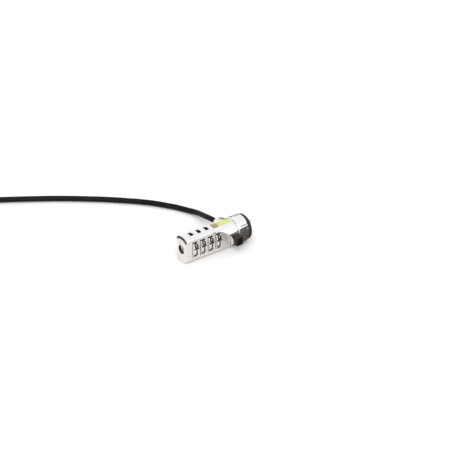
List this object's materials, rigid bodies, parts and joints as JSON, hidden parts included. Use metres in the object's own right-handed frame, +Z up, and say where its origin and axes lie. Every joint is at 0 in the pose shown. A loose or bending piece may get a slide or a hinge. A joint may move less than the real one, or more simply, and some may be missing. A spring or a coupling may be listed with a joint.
{
  "type": "laptop cable lock",
  "caption": "Combination cable lock for a laptop security slot: flat-sided barrel with number dials, turning locking ring with T-head, swivel and pivoting coiled cable with an anchor loop.",
  "frame": {"origin": "bottom centre of the lock's own box, on the surface it lies on; the barrel's axis is 10 mm up and 2 mm towards -Y", "axes": "+X along the barrel from its end face to the T-head, +Z up, the front flat faces -Y and the cable leaves towards +Y"},
  "size_m": [0.2207, 0.1881, 0.02],
  "materials": {
    "satin_nickel": "satin nickel plated zinc casting",
    "bright_chrome": "bright chrome plate",
    "dial_chrome": "semi-bright chrome with black filled numerals",
    "machined_steel": "turned steel",
    "spring_steel": "blued spring steel",
    "brass": "turned brass",
    "black_plastic": "moulded black plastic",
    "black_rubber": "soft black rubber",
    "yellow_label": "plain yellow and orange film",
    "crimp_steel": "swaged plated steel",
    "cable_jacket": "black plastic jacket over steel rope",
    "strap_fabric": "black woven strap"
  },
  "bodies": {
    "cable": {"cable_terminal": "crimp_steel", "cable_run": "cable_jacket", "cable_coil": "cable_jacket", "cable_tail": "cable_jacket", "coil_tie": "strap_fabric", "anchor_loop": "cable_jacket", "loop_sleeve": "crimp_steel"},
    "swivel": {"swivel_band": "bright_chrome", "front_lug": "black_plastic", "cable_yoke": "bright_chrome", "pivot_pin": "machined_steel"},
    "barrel": {"barrel_core": "satin_nickel", "top_cover": "bright_chrome", "cover_liner": "black_rubber", "front_face_plate": "satin_nickel", "rear_face_plate": "satin_nickel", "top_label": "yellow_label", "click_spring": "spring_steel", "spindle_bush": "brass", "return_spring": "spring_steel", "ring_circlip": "spring_steel"},
    "reset": {"reset_screw": "machined_steel", "reset_clip": "spring_steel"},
    "dial_one": {"dial_1": "dial_chrome", "code_ring_1": "brass"},
    "dial_two": {"dial_2": "dial_chrome", "code_ring_2": "brass"},
    "dial_three": {"dial_3": "dial_chrome", "code_ring_3": "brass"},
    "dial_four": {"dial_4": "dial_chrome", "code_ring_4": "brass"},
    "spindle": {"lock_spindle": "machined_steel", "spindle_clip": "spring_steel"},
    "ring": {"locking_ring": "bright_chrome", "nose_plate": "machined_steel", "bumper_washer": "black_rubber"}
  },
  "joints": [
    {"name": "cable_pivot", "type": "hinge", "parent": "cable", "child": "swivel", "pos_m": [0.0144, 0.013, 0.01], "axis": [0, 0, 1], "range_deg": [-80, 40]},
    {"name": "barrel_swivel", "type": "hinge", "parent": "swivel", "child": "barrel", "pos_m": [0, -0.002, 0.01], "axis": [1, 0, 0], "continuous": true},
    {"name": "dial_1_turn", "type": "hinge", "parent": "barrel", "child": "dial_one", "pos_m": [0, -0.002, 0.01], "axis": [1, 0, 0], "continuous": true},
    {"name": "dial_2_turn", "type": "hinge", "parent": "barrel", "child": "dial_two", "pos_m": [0, -0.002, 0.01], "axis": [1, 0, 0], "continuous": true},
    {"name": "dial_3_turn", "type": "hinge", "parent": "barrel", "child": "dial_three", "pos_m": [0, -0.002, 0.01], "axis": [1, 0, 0], "continuous": true},
    {"name": "dial_4_turn", "type": "hinge", "parent": "barrel", "child": "dial_four", "pos_m": [0, -0.002, 0.01], "axis": [1, 0, 0], "continuous": true},
    {"name": "reset_turn", "type": "hinge", "parent": "barrel", "child": "reset", "pos_m": [0, -0.002, 0.01], "axis": [1, 0, 0], "range_deg": [0, 90]},
    {"name": "ring_turn", "type": "hinge", "parent": "barrel", "child": "ring", "pos_m": [0, -0.002, 0.01], "axis": [1, 0, 0], "range_deg": [0, 90]},
    {"name": "spindle_slide", "type": "slide", "parent": "barrel", "child": "spindle", "axis": [1, 0, 0], "range_m": [0, 0.002], "deforming": ["return_spring"]}
  ],
  "couplings": [
    {"joint": "spindle_slide", "follows": "ring_turn", "m_per_rad": 0.00127}
  ]
}
